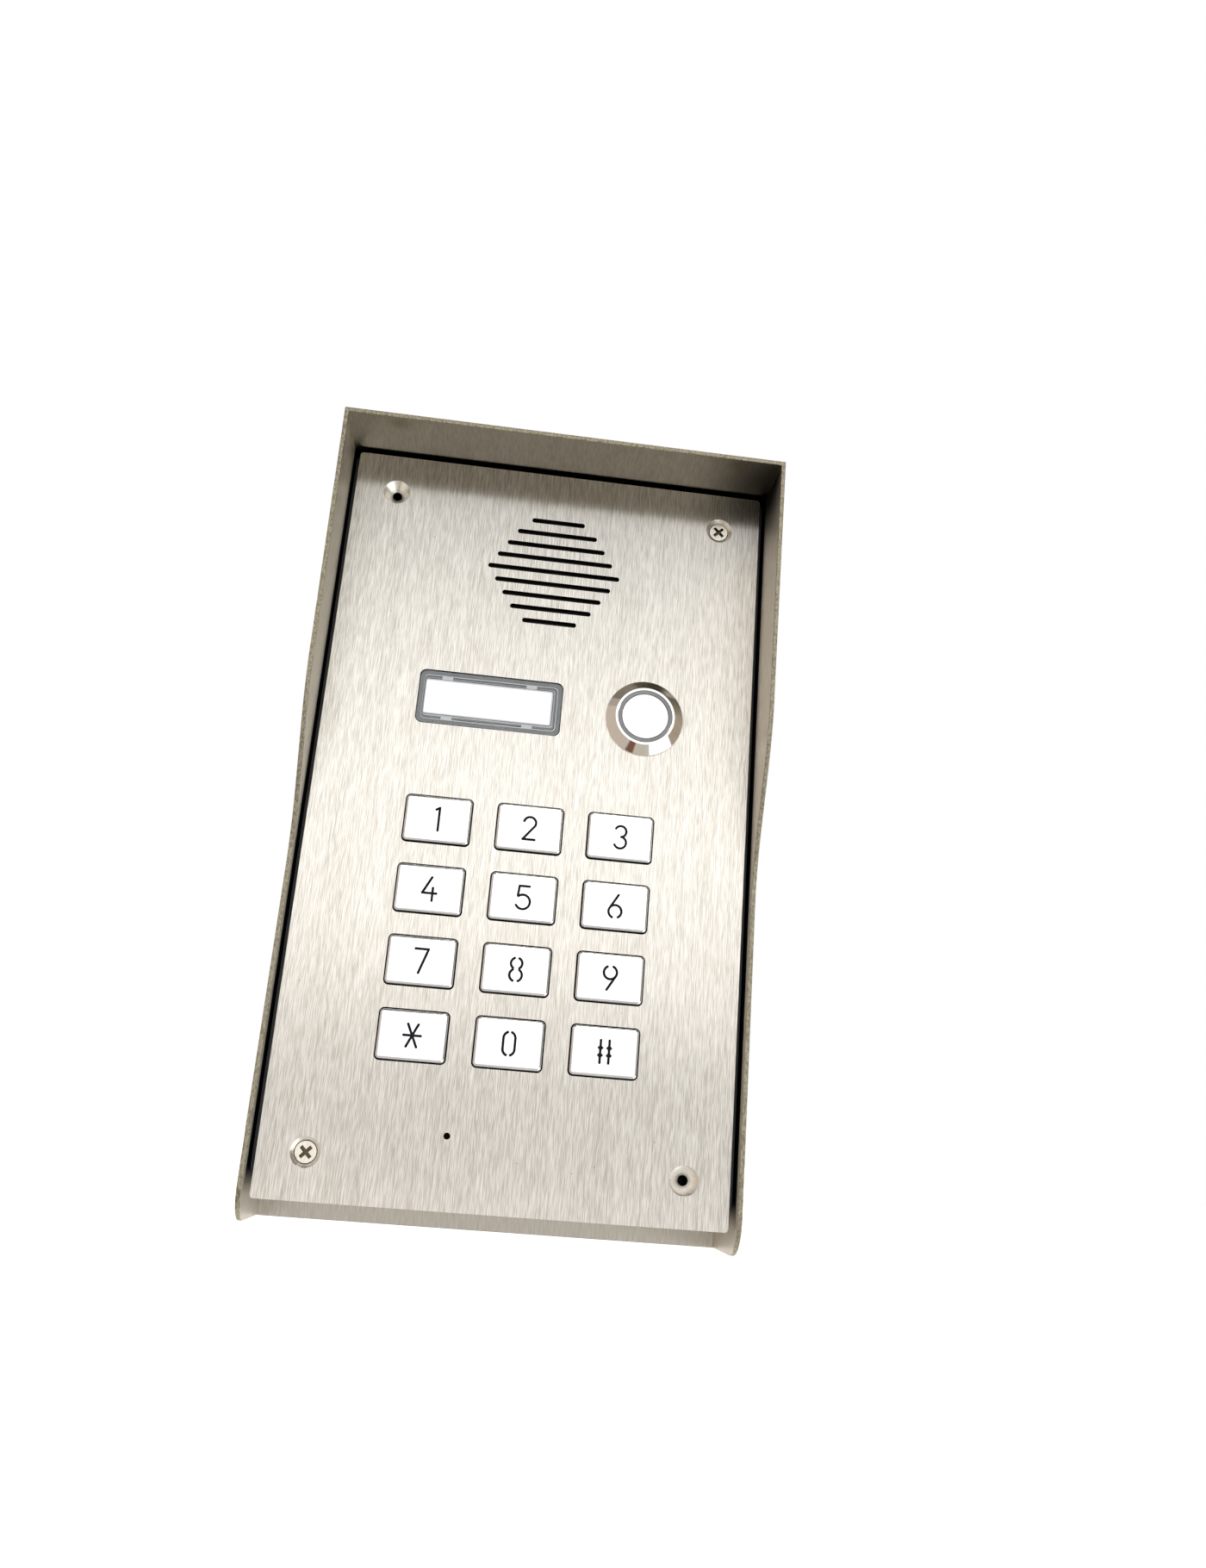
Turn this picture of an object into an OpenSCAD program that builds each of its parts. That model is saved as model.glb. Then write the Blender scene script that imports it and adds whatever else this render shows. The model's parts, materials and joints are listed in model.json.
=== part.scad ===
// Door intercom panel: a folded rain hood, a sealed back box and a front panel
// with a speaker, a lit name window, a call button, a twelve-key keypad and a microphone.
// X is across the panel, Y runs into the wall and Z is up. The wall plane is y = 0.

/* [Front panel] */
// Width of the front panel
panel_w = 120; // [118:0.5:120.5]
// Height of the front panel
panel_h = 209; // [207:0.5:209.5]
// Thickness of the front panel
panel_t = 2; // [2:0.1:2.5]
// Distance from the wall to the front face of the panel
face_d = 29.5; // [29:0.5:32]
// Width between the panel screws
screw_dx = 96; // [94:0.5:97]
// Height between the panel screws
screw_dz = 185.5; // [184:0.5:186]
// Diameter of the screw countersinks at the face
sink_d = 7.6; // [7:0.1:8]

/* [Rain hood] */
// Sheet thickness of the hood
sheet_t = 1.2; // [1:0.1:1.5]
// Gap between the panel and each side of the hood
hood_gap = 1.8; // [1:0.1:2.5]
// Gap between the panel and the roof of the hood
roof_gap = 1; // [0.8:0.1:2.5]
// How far the hood stands past the panel at the top
hood_top_d = 19.5; // [16:0.5:24]
// How far the hood stands past the panel where the side starts to curve in
hood_mid_d = 16.4; // [14:0.1:18]
// How far the hood stands past the panel along the lower half
hood_low_d = 2.7; // [2:0.1:5]
// Height at which the side starts to curve in
curve_top = 36; // [30:1:45]
// Height at which the curve ends
curve_low = -20; // [-30:1:-10]
// How far the hood reaches below the panel
hood_drop = 5.9; // [5:0.1:8]
// Radius of the lower front corner of each side
corner_r = 9.5; // [6:0.5:11]

/* [Keypad] */
// Distance between key columns
key_dx = 25; // [24:0.25:26]
// Distance between key rows
key_dz = 19.25; // [19:0.25:20]
// Width of a key cap
key_w = 17.8; // [17:0.1:18]
// Height of a key cap
key_h = 12.8; // [12:0.1:13]
// How far the caps stand out of the panel
key_out = 1.1; // [0.7:0.1:1.2]
// How far a key travels
key_travel = 1; // [0.5:0.1:1]
// Height of the middle of the keypad
key_z = -33.35; // [-34:0.05:-33]

/* [Call button] */
// Outer diameter of the bezel
bezel_d = 22; // [21.5:0.5:22]
// How far the bezel stands out of the panel
bezel_out = 2.4; // [2:0.1:3]
// Position across the panel
button_x = 29.4; // [29:0.1:30]
// Height of the middle of the button and of the name window
button_z = 30.9; // [30:0.1:32]
// How far the button travels
button_travel = 1.5; // [1:0.1:1.5]

/* [Name window] */
// Width of the window opening
window_w = 40.5; // [40:0.1:41]
// Height of the window opening
window_h = 15.9; // [15.5:0.1:16.5]
// Position across the panel
window_x = -14.4; // [-15:0.1:-14]

/* [Speaker and microphone] */
// Height of the middle of the speaker
speaker_z = 73; // [72:0.5:74]
// Outer radius of the speaker
speaker_r = 25; // [24:0.5:25]
// Distance between speaker slots
slot_dz = 4; // [3.9:0.1:4.2]
// Position of the microphone hole across the panel
mic_x = -13.4; // [-14:0.1:-12]
// Height of the microphone hole
mic_z = -86.3; // [-87:0.1:-85]

/* [Back box] */
// Wall thickness of the back box
box_t = 2.5; // [2:0.1:3]
// Gap between the back box and the back plate of the hood
box_gap = 1; // [1:0.1:1.5]
// Thickness of the foam gasket under the panel
gasket_t = 1; // [0.8:0.1:1]

/* [Wall fixing] */
// Width between the wall screws
wall_dx = 76; // [70:1:78]
// Height between the wall screws
wall_dz = 168; // [166:1:170]
// Diameter of the wall screw holes
wall_hole_d = 5; // [4.5:0.5:5.5]
// Diameter of the cable hole in the bush
cable_d = 10; // [9:0.5:10]
// Height of the middle of the cable bush
cable_z = 30; // [28:1:32]

/* [Hidden] */
key_names = ["1", "2", "3", "4", "5", "6", "7", "8", "9", "star", "0", "hash"];
$fn = 48;
// How far cutting shapes reach past a face
over = 1;
// Overlap that joins two shapes of one solid
joined = 0.01;

// Depths, measured as y
face_y = -face_d;
panel_back = face_y + panel_t;
rim_y = panel_back + gasket_t;
base_y = -sheet_t - box_gap;
floor_y = base_y - box_t;

// Hood
hood_in_w = panel_w + 2 * hood_gap;
hood_w = hood_in_w + 2 * sheet_t;
hood_in_top = panel_h / 2 + roof_gap;
hood_top = hood_in_top + sheet_t;
hood_low = -panel_h / 2 - hood_drop;
hood_front = -face_d - hood_top_d;
bend_r = 2;
curve_steps = 14;
cutout = 20;
cutout_corner = 2;

// Panel, its screws and its welded studs
panel_corner = 1;
screw_hole_r = 1.9;
sink_t = sink_d / 2 - screw_hole_r;
head_r = 2.75;
head_land = 0.3;
head_y = face_y + sink_d / 2 - head_r - head_land;
screw_len = 7.5;
cross_len = 3.6;
cross_w = 0.8;
cross_t = 0.9;
stud_r = 1.5;
stud_len = 10;
stud_gap = 0.15;
nut_r = 3.2;
nut_t = 2.4;
clamp_y = panel_back + 3;

// Back box
rim_gap = 0.5;
rim_w = hood_in_w - 2 * rim_gap;
rim_top = hood_in_top - rim_gap;
rim_t = 1.5;
rim_corner = 2;
box_w = 114;
box_top = 102;
box_low = -99;
box_mid = (box_top + box_low) / 2;
box_corner = 3;
box_in_w = box_w - 2 * box_t;
box_in_h = box_top - box_low - 2 * box_t;
boss_r = 4.5;
insert_r = 2.5;
insert_bore_r = 1.25;
insert_len = 8;
insert_floor = 1;
insert_chamfer = 0.65;
pad_r = 6;
box_stud_z = 88;
gasket_top = 104;
gasket_inset = 0.3;
bush_wall = 1.5;
bush_lip = 2;

// Slots of the speaker, half lengths from the top one down
slot_half = [7.1, 11, 13.6, 16.1, 18.5, 16.1, 13.6, 11, 7.1];
slot_r = 0.72;
mic_hole_r = 0.85;

// Keys
key_gap = 0.35;
key_corner = 1.1;
cap_t = 0.8;
cap_in_corner = 0.6;
glyph_t = 0.65;
glyph_end_r = 0.34;
glyph_top = 3.15;
stub_r = 0.85;
flange_w = 20.4;
flange_h = 15.2;
flange_t = 1;
flange_y = panel_back + key_gap;
plunger_r = 2.5;
mat_y = flange_y + flange_t + key_travel + 0.4;
mat_t = 1.2;
mat_w = 74;
mat_h = 80;
mat_well_gap = 0.5;
board_t = 1.6;
board_corner = 1;
keypad_y = mat_y + mat_t;
keypad_w = 90;
keypad_h = 84;
plunger_end = keypad_y - key_travel - key_gap;
keypad_stud_x = 41;
keypad_stud_z = 37;

// Call button
button_at = [button_x, button_z];
barrel_r = 9.4;
barrel_gap = 0.2;
bezel_y = face_y - bezel_out;
bezel_edge = 0.5;
bezel_flat_r = 8.4;
groove_r = 9.7;
groove_w = 0.9;
groove_t = 0.6;
seal_gap = 0.05;
button_nut_r = 12.7;
button_nut_t = 3;
led_out_r = 7.75;
led_in_r = 6.55;
led_len = 3.4;
led_recess = 0.05;
led_gap = 0.13;
cap_r = 6.49;
cap_recess = 0.1;
cap_flange_r = 6.8;
cap_flange_t = 1;
cap_flange_y = bezel_y + led_len + 0.35;
cap_stem_r = 3;
chamber_r = 7.2;
barrel_end = -14.5;
switch_y = -18.2;
switch_r = 8.6;
switch_back = -9.2;
tag_pitch = 2.5;
tag_w = 0.6;
tag_h = 2.4;
tag_len = 3.2;

// Name window
lens_gap = 0.1;
lens_w = window_w - 2 * lens_gap;
lens_h = window_h - 2 * lens_gap;
lens_corner = 1.8;
lens_recess = 0.2;
lens_flange = 1.7;
lens_flange_t = 1.2;
label_w = 35.4;
label_h = 9.6;
label_t = 0.3;
label_corner = 0.4;
label_gap = 0.3;
label_y = face_y + 1.5;
label_at = [window_x - 0.5, button_z + 0.4];
window_at = [window_x, button_z];
retainer_y = panel_back + lens_flange_t;
retainer_w = 60;
retainer_h = 21;
window_stud_dx = 53;
lamp_board_w = 40;
lamp_board_h = 15;
lamp_board_t = 1.2;
lamp_pitch = 12;
lamp_w = 3.2;
lamp_h = 2.8;
lamp_t = 1.3;

// Speaker and microphone
speaker_at = [0, speaker_z];
speaker_stud_d = 22.3;
speaker_foam_t = 1;
mesh_r = 21;
mesh_t = 0.3;
mesh_gap = 0.1;
basket_y = panel_back + speaker_foam_t;
basket_t = 9;
basket_wall = 1;
basket_low_r = 12;
basket_top_r = 21.5;
basket_vent_r = 5;
cone_y = basket_y + 0.2;
cone_t = 5.5;
cone_wall = 0.5;
cone_low_r = 6;
cone_top_r = 19.4;
magnet_r = 11;
magnet_t = 6;
clamp_t = 1;
clamp_edge = 1.5;
clamp_hole_r = 22.5;
clamp_arm = 68;
clamp_arm_w = 7;
mic_at = [mic_x, mic_z];
mic_r = 3;
mic_t = 3.4;
boot_r = 5.4;
boot_t = 5;
boot_front = 1.2;

// Main board, its parts and its screws
spacer_r = 3;
spacer_len = keypad_y - panel_back;
main_y = floor_y - spacer_len - board_t;
main_w = 90;
main_h = 88;
main_z = -34;
main_hole_dx = 80;
main_hole_dz = 78;
board_screw_r = 2.8;
board_screw_t = 1.8;
floor_clear = 0.4;
radio_at = [-22, -28];
radio_w = 32;
radio_h = 26;
radio_t = 3;
relay_at = [24, -50];
relay_w = 19;
relay_h = 15;
relay_t = 7;
capacitor_r = 4;
capacitor_x = [16, 26, 36];
capacitor_z = -18;
terminal_z = -68;
terminal_w = 50;
terminal_h = 9;
terminal_t = 8;
terminal_pitch = 5;
terminal_hole_r = 1.7;
terminal_hole_t = 3;
ribbon_w = 16;
ribbon_t = 0.6;
ribbon_bow = 4;
ribbon_steps = 8;

// The speaker lead's route, from the basket to the main board
lead_r = 0.7;
lead_points = [[-11.7, -14.5, 70], [-13.5, -14.5, 68], [-17, -14, 63],
    [-20, -14, 54], [-20.5, -14, 44], [-20.5, -14, 34], [-20.5, -14, 24],
    [-20.5, -14, 15], [-20.2, -13.6, 9], [-20, -12.4, 6], [-20, main_y, 6]];

// Places of the screws, of the wall holes and of the studs
keypad_studs = [for (x = [-1, 1], z = [-1, 1])
    [x * keypad_stud_x, key_z + z * keypad_stud_z]];
window_studs = [for (x = [-1, 1]) [window_x + x * window_stud_dx / 2, button_z]];
speaker_studs = [for (x = [-1, 1], z = [-1, 1])
    [x * speaker_stud_d, speaker_z + z * speaker_stud_d]];
main_holes = [for (x = [-1, 1], z = [-1, 1])
    [x * main_hole_dx / 2, main_z + z * main_hole_dz / 2]];
panel_holes = [for (x = [-1, 1], z = [-1, 1]) [x * screw_dx / 2, z * screw_dz / 2]];
wall_holes = [for (x = [-1, 1], z = [-1, 1]) [x * wall_dx / 2, z * wall_dz / 2]];
box_stud_places = [for (z = [-1, 1]) [0, z * box_stud_z]];

// Centre of key number i, counted along the rows from the top left
function key_at(i) = [(i % 3 - 1) * key_dx, key_z + (1.5 - floor(i / 3)) * key_dz];

// Draws a 2D shape in the XZ plane and extrudes it from y0 to y1
module slab(y0, y1) {
    translate([0, y1, 0]) rotate([90, 0, 0]) linear_extrude(y1 - y0) children();
}

// A cylinder along Y from y0 to y1, or a cone with radius r2 at y0
module rod(r, y0, y1, at = [0, 0], r2 = -1) {
    translate([at[0], y1, at[1]]) rotate([90, 0, 0])
        cylinder(r1 = r, r2 = r2 < 0 ? r : r2, h = y1 - y0);
}

// A turned shape about Y: the profile's points are [radius, distance out from y0]
module turned(y0, at = [0, 0]) {
    translate([at[0], y0, at[1]]) rotate([90, 0, 0]) rotate_extrude() children();
}

module rounded(w, h, r) {
    square([w - 2 * r, h], center = true);
    square([w, h - 2 * r], center = true);
    for (x = [-1, 1], z = [-1, 1])
        translate([x * (w / 2 - r), z * (h / 2 - r)]) circle(r);
}

module at2(p) { translate([p[0], p[1]]) children(); }

module hex_nut(r, t, bore, y0, at) {
    difference() {
        translate([at[0], y0 + t, at[1]]) rotate([90, 0, 0]) cylinder(r = r, h = t, $fn = 6);
        rod(bore, y0 - over, y0 + t + over, at);
    }
}

// A round lead swept along a list of points
function unit(v) = v / norm(v);
function along(p, i) = unit(p[min(i + 1, len(p) - 1)] - p[max(i - 1, 0)]);
function ring(p, i, r, n) =
    let (t = along(p, i), u = unit(cross(t, [1, 0.2, 0.1])), v = cross(t, u))
    [for (k = [0:n - 1]) p[i] + r * (u * cos(360 * k / n) + v * sin(360 * k / n))];
module lead(p, r, n = 8) {
    points = [for (i = [0:len(p) - 1]) each ring(p, i, r, n)];
    sides = [for (i = [0:len(p) - 2], k = [0:n - 1])
        [i * n + k, i * n + (k + 1) % n, (i + 1) * n + (k + 1) % n, (i + 1) * n + k]];
    ends = [[for (k = [n - 1:-1:0]) k], [for (k = [0:n - 1]) (len(p) - 1) * n + k]];
    polyhedron(points, concat(sides, ends));
}

// ---- Rain hood ----

// How far the hood's front edge stands past the panel along the curve, s from 0 to 1
function curve_d(s) = hood_low_d + (hood_mid_d - hood_low_d) * (1 + cos(180 * s)) / 2;

module hood_side() {
    low_y = face_d + hood_low_d;
    difference() {
        polygon(concat(
            [[0, hood_low], [0, hood_top], [-hood_front, hood_top]],
            [for (i = [0:curve_steps]) let (s = i / curve_steps)
                [face_d + curve_d(s), curve_top + (curve_low - curve_top) * s]],
            [[low_y, hood_low]]));
        translate([low_y - corner_r, hood_low + corner_r]) difference() {
            translate([0, -corner_r - over]) square(corner_r + over);
            circle(corner_r);
        }
    }
}

module hood_section(w, front, back, r) {
    difference() {
        translate([-w / 2, front]) square([w, back - front]);
        for (x = [-1, 1]) translate([x * (w / 2 - r / 2), back - r / 2])
            square(r, center = true);
    }
    for (x = [-1, 1]) translate([x * (w / 2 - r), back - r]) circle(r);
}

module rain_hood() {
    color("#b9b2a4") difference() {
        intersection() {
            difference() {
                translate([0, 0, hood_low]) linear_extrude(hood_top - hood_low)
                    hood_section(hood_w, hood_front - over, 0, bend_r);
                translate([0, 0, hood_low - over])
                    linear_extrude(hood_in_top - hood_low + over)
                    hood_section(hood_in_w, hood_front - 2 * over, -sheet_t,
                        bend_r - sheet_t);
            }
            translate([-hood_w / 2 - over, 0, 0]) rotate([90, 0, 90])
                linear_extrude(hood_w + 2 * over) mirror([1, 0]) hood_side();
        }
        for (p = wall_holes) rod(wall_hole_d / 2, -sheet_t - over, over, p);
        slab(-sheet_t - over, over) translate([0, cable_z])
            rounded(cutout, cutout, cutout_corner);
    }
}

// ---- Front panel ----

module key_cutouts() {
    for (i = [0:11]) at2(key_at(i))
        rounded(key_w + 2 * key_gap, key_h + 2 * key_gap, key_corner + key_gap);
}

module slot(half) {
    square([2 * half, 2 * slot_r], center = true);
    for (x = [-1, 1]) translate([x * half, 0]) circle(slot_r, $fn = 24);
}

module front_panel() {
    middle = (len(slot_half) - 1) / 2;
    color("#d8d2c6") difference() {
        slab(face_y, panel_back) rounded(panel_w, panel_h, panel_corner);
        slab(face_y - over, panel_back + over) {
            key_cutouts();
            at2(window_at) rounded(window_w, window_h, lens_corner + lens_gap);
            for (i = [0:len(slot_half) - 1])
                translate([0, speaker_z + (middle - i) * slot_dz]) slot(slot_half[i]);
        }
        rod(barrel_r + barrel_gap, face_y - over, panel_back + over, button_at);
        rod(mic_hole_r, face_y - over, panel_back + over, mic_at);
        for (p = panel_holes) {
            rod(screw_hole_r, face_y - over, panel_back + over, p);
            rod(screw_hole_r, face_y, face_y + sink_t, p, r2 = sink_d / 2);
        }
    }
}

module panel_gasket() {
    color("#17181a") slab(panel_back, rim_y) difference() {
        translate([0, (gasket_top + box_low) / 2])
            rounded(panel_w - 2 * gasket_inset, gasket_top - box_low, panel_corner);
        translate([0, box_mid]) square([box_in_w, box_in_h], center = true);
        for (p = panel_holes) at2(p) circle(boss_r + gasket_inset);
    }
}

// ---- Back box ----

module box_inside() {
    translate([0, box_mid]) rounded(box_in_w, box_in_h, box_corner / 2);
}

module back_box() {
    color("#1b1c1f") difference() {
        union() {
            difference() {
                slab(rim_y, base_y) translate([0, box_mid])
                    rounded(box_w, box_top - box_low, box_corner);
                slab(rim_y - over, floor_y) box_inside();
            }
            slab(rim_y, rim_y + rim_t) difference() {
                translate([0, (rim_top + box_low) / 2])
                    rounded(rim_w, rim_top - box_low, rim_corner);
                box_inside();
            }
            for (p = panel_holes) rod(boss_r, panel_back, floor_y, p);
            for (p = concat(wall_holes, box_stud_places))
                rod(pad_r, base_y - joined, -sheet_t, p);
        }
        for (p = panel_holes) rod(insert_r, panel_back - over, panel_back + insert_len, p);
        for (p = wall_holes) rod(wall_hole_d / 2, floor_y - over, over, p);
        for (p = box_stud_places) rod(stud_r + stud_gap, floor_y - over, over, p);
        rod(cable_d / 2 + bush_wall, floor_y - over, base_y + over, [0, cable_z]);
    }
}

module threaded_inserts() {
    color("#b8a24a") for (p = panel_holes) difference() {
        rod(insert_r, panel_back, panel_back + insert_len, p);
        rod(insert_bore_r, panel_back - over, panel_back + insert_len - insert_floor, p);
        rod(insert_bore_r, panel_back, panel_back + insert_chamfer, p,
            r2 = insert_bore_r + insert_chamfer);
    }
}

// A countersunk cross-head screw, fitted at the top right and the bottom left
module panel_screws() {
    land_y = head_y + head_land;
    color("#cfc9bc") for (p = [panel_holes[3], panel_holes[0]]) difference() {
        union() {
            rod(insert_bore_r, head_y, head_y + screw_len, p);
            rod(head_r, head_y, land_y, p);
            rod(insert_bore_r, land_y - joined, land_y + head_r - insert_bore_r, p,
                r2 = head_r);
        }
        for (a = [45, 135]) translate([p[0], head_y, p[1]]) rotate([0, a, 0])
            cube([cross_len, 2 * cross_t, cross_w], center = true);
    }
}

module cable_bush() {
    hole_r = cable_d / 2;
    at = [0, cable_z];
    color("#202124") difference() {
        union() {
            rod(hole_r + bush_wall, floor_y - joined, base_y, at);
            rod(hole_r + bush_wall + bush_lip, floor_y - bush_lip, floor_y, at);
        }
        rod(hole_r, floor_y - bush_lip - over, base_y + over, at);
    }
}

// Studs welded to the back of the panel and to the back plate of the hood
module weld_studs() {
    color("#b0b0b0") {
        for (p = concat(keypad_studs, window_studs, speaker_studs))
            rod(stud_r, panel_back, panel_back + stud_len, p);
        for (p = box_stud_places) rod(stud_r, -sheet_t - stud_len, -sheet_t, p);
    }
}

module stud_nuts() {
    color("#c9c9c9") {
        for (p = keypad_studs) hex_nut(nut_r, nut_t, stud_r, keypad_y + board_t, p);
        for (p = concat(window_studs, speaker_studs)) hex_nut(nut_r, nut_t, stud_r, clamp_y, p);
        for (p = box_stud_places) hex_nut(nut_r, nut_t, stud_r, floor_y - nut_t, p);
    }
}

// ---- Name window ----

module window_lens() {
    flange = 2 * lens_flange;
    color("#c9d2d6", 0.5) difference() {
        union() {
            slab(face_y + lens_recess, panel_back) at2(window_at)
                rounded(lens_w, lens_h, lens_corner);
            slab(panel_back, retainer_y) at2(window_at)
                rounded(lens_w + flange, lens_h + flange, lens_corner);
        }
        slab(label_y, retainer_y + over) at2(label_at)
            square([label_w + 2 * label_gap, label_h + 2 * label_gap], center = true);
    }
}

module name_label() {
    color("white") slab(label_y, label_y + label_t) at2(label_at)
        rounded(label_w, label_h, label_corner);
}

module label_diffuser() {
    color("#f2f2ee") slab(label_y + label_t, retainer_y) at2(label_at)
        rounded(label_w, label_h, label_corner);
}

module window_retainer() {
    color("#222326") difference() {
        slab(retainer_y, clamp_y) at2(window_at) difference() {
            rounded(retainer_w, retainer_h, lens_corner);
            square([label_w - 2, label_h - 1], center = true);
        }
        for (p = window_studs) rod(stud_r + stud_gap, retainer_y - over, clamp_y + over, p);
    }
}

// The lamp board carries three soldered lamps
module window_led_board() {
    color("#1f5a36") {
        slab(clamp_y, clamp_y + lamp_board_t) at2(window_at)
            rounded(lamp_board_w, lamp_board_h, board_corner);
        for (i = [-1:1]) slab(clamp_y - lamp_t, clamp_y)
            translate([window_x + i * lamp_pitch, button_z])
            square([lamp_w, lamp_h], center = true);
    }
}

// ---- Call button ----

module button_body() {
    bezel_r = bezel_d / 2;
    color("#cfc8bb") difference() {
        union() {
            turned(face_y, button_at) polygon([[0, 0], [bezel_r, 0], [bezel_r, bezel_edge],
                [bezel_flat_r, bezel_out], [0, bezel_out]]);
            rod(barrel_r, face_y - joined, barrel_end, button_at);
        }
        rod(led_out_r, bezel_y - over, bezel_y + led_len + led_recess, button_at);
        rod(chamber_r, bezel_y - over, barrel_end + over, button_at);
        turned(face_y + joined, button_at) translate([groove_r, 0]) square([groove_w, groove_t]);
    }
}

module button_seal() {
    color("#151515") turned(face_y, button_at) translate([groove_r + seal_gap, joined])
        square([groove_w - 2 * seal_gap, groove_t - 2 * seal_gap]);
}

module button_nut() {
    color("#c9c9c9") hex_nut(button_nut_r, button_nut_t, barrel_r, panel_back, button_at);
}

module button_led_ring() {
    color("#8d9096") difference() {
        rod(led_out_r - led_gap, bezel_y + led_recess, bezel_y + led_len, button_at);
        rod(led_in_r + led_gap, bezel_y - over, bezel_y + led_len + over, button_at);
    }
}

module button_cap() {
    color("#e4e0d8") {
        rod(cap_r, bezel_y + cap_recess, cap_flange_y + cap_flange_t, button_at);
        rod(cap_flange_r, cap_flange_y, cap_flange_y + cap_flange_t, button_at);
        rod(cap_stem_r, cap_flange_y, switch_y - button_travel - key_gap, button_at);
    }
}

// The switch block carries its five solder tags
module button_switch() {
    color("#1d1e20") {
        rod(chamber_r, switch_y, barrel_end, button_at);
        rod(switch_r, barrel_end, switch_back, button_at);
        for (i = [-2:2]) slab(switch_back, switch_back + tag_len)
            translate([button_x + i * tag_pitch, button_z])
            square([tag_w, tag_h], center = true);
    }
}

// ---- Speaker ----

module speaker_gasket() {
    color("#1a1a1c") difference() {
        rod(speaker_r, panel_back, basket_y, speaker_at);
        rod(mesh_r + mesh_gap, panel_back - over, basket_y + over, speaker_at);
    }
}

module speaker_mesh() {
    color("#101113") rod(mesh_r, panel_back, panel_back + mesh_t, speaker_at);
}

module speaker_basket() {
    back = basket_y + basket_t;
    color("#5c5f63") difference() {
        union() {
            rod(speaker_r, basket_y, basket_y + basket_wall, speaker_at);
            rod(basket_low_r, basket_y + basket_wall, back, speaker_at, r2 = basket_top_r);
        }
        rod(basket_low_r - basket_wall, basket_y - joined, back - basket_wall, speaker_at,
            r2 = basket_top_r - basket_wall);
        rod(basket_vent_r, back - 2 * basket_wall, back + over, speaker_at);
    }
}

module speaker_cone() {
    color("#2c2a28") difference() {
        rod(cone_low_r, cone_y, cone_y + cone_t, speaker_at, r2 = cone_top_r);
        rod(cone_low_r - cone_wall, cone_y - joined, cone_y + cone_t - cone_wall, speaker_at,
            r2 = cone_top_r - cone_wall);
    }
}

module speaker_magnet() {
    y0 = basket_y + basket_t;
    color("#3a3b3d") rod(magnet_r, y0, y0 + magnet_t, speaker_at);
}

module speaker_retainer() {
    y0 = clamp_y - clamp_t;
    color("#a8a8a8") difference() {
        slab(y0, clamp_y) at2(speaker_at) difference() {
            union() {
                circle(speaker_r + clamp_edge, $fn = 96);
                for (a = [45, 135]) rotate(a) square([clamp_arm, clamp_arm_w], center = true);
            }
            circle(clamp_hole_r, $fn = 96);
        }
        for (p = speaker_studs) rod(stud_r + stud_gap, y0 - over, clamp_y + over, p);
    }
}

// ---- Microphone ----

module microphone() {
    front = panel_back + boot_front;
    color("#b5b5b5") rod(mic_r, front, front + mic_t, mic_at);
}

module microphone_boot() {
    color("#19191b") difference() {
        rod(boot_r, panel_back, panel_back + boot_t, mic_at);
        rod(mic_r, panel_back + boot_front, panel_back + boot_t + over, mic_at);
        rod(mic_hole_r, panel_back - over, panel_back + boot_front + over, mic_at);
    }
}

// ---- Keypad ----

module keypad_mat() {
    color("#3b3f46") difference() {
        slab(mat_y, keypad_y) translate([0, key_z]) rounded(mat_w, mat_h, rim_corner);
        for (i = [0:11])
            rod(plunger_r + mat_well_gap, mat_y - over, keypad_y + over, key_at(i));
    }
}

module keypad_board() {
    back = keypad_y + board_t;
    color("#20603a") difference() {
        slab(keypad_y, back) translate([0, key_z])
            rounded(keypad_w, keypad_h, board_corner);
        for (p = keypad_studs) rod(stud_r + stud_gap, keypad_y - over, back + over, p);
    }
}

// Equal spacers under both boards
module board_spacers() {
    color("#d0cdc4") {
        for (p = keypad_studs) spacer(panel_back, p);
        for (p = main_holes) spacer(main_y + board_t, p);
    }
}

module spacer(y0, p) {
    difference() {
        rod(spacer_r, y0, y0 + spacer_len, p);
        rod(stud_r, y0 - over, y0 + spacer_len + over, p);
    }
}

// Strokes of the cut-through characters
module stroke(a, b) {
    d = b - a;
    translate((a + b) / 2) rotate(atan2(d[1], d[0]))
        square([norm(d), glyph_t], center = true);
    for (p = [a, b]) translate(p) circle(glyph_end_r, $fn = 16);
}

// An arc about c between two angles
module bow(c, r, from, to) {
    steps = 6;
    reach = 3 * r;
    translate(c) intersection() {
        difference() {
            circle(r + glyph_t / 2);
            circle(r - glyph_t / 2);
        }
        polygon(concat([[0, 0]], [for (i = [0:steps])
            let (a = from + (to - from) * i / steps) reach * [cos(a), sin(a)]]));
    }
    for (a = [from, to]) translate(c + r * [cos(a), sin(a)]) circle(glyph_end_r, $fn = 16);
}

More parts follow.
